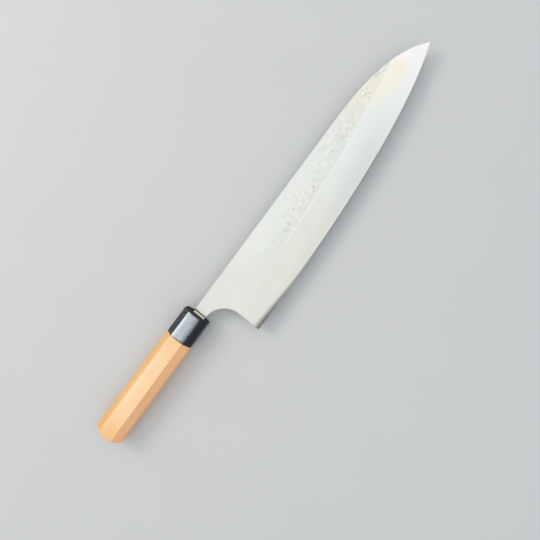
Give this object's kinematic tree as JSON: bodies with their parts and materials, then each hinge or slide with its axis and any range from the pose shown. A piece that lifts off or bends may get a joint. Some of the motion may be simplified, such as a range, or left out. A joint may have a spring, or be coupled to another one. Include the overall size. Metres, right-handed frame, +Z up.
{
  "type": "gyuto knife",
  "caption": "Chef's knife with a laminated double-bevel blade, welded hidden tang, horn ferrule and octagonal wooden handle, for slicing and chopping.",
  "frame": {"origin": "middle of the knife's box on its underside, with the knife lying on its left side", "axes": "+X along the knife towards the tip, +Y from the cutting edge to the spine, +Z up out of the blade's right face"},
  "size_m": [0.426, 0.0622, 0.0222],
  "materials": {
    "core_steel": "hard core layer, finely stoned along the edge",
    "cladding_steel": "pear-skin above the bevel line, hazed below it",
    "tang_steel": "ground bare steel with a straw heat tint",
    "horn": "polished black horn",
    "seal_wax": "dark sealing wax",
    "dowel_wood": "plain turned hardwood",
    "bedding_resin": "cured amber resin",
    "handle_wood": "sanded bare pale wood"
  },
  "bodies": {
    "root": {"core_steel": "core_steel", "right_cladding": "cladding_steel", "left_cladding": "cladding_steel", "tang": "tang_steel", "ferrule": "horn", "mouth_seal": "seal_wax", "dowel": "dowel_wood", "tang_bedding": "bedding_resin", "handle_body": "handle_wood"}
  },
  "joints": []
}
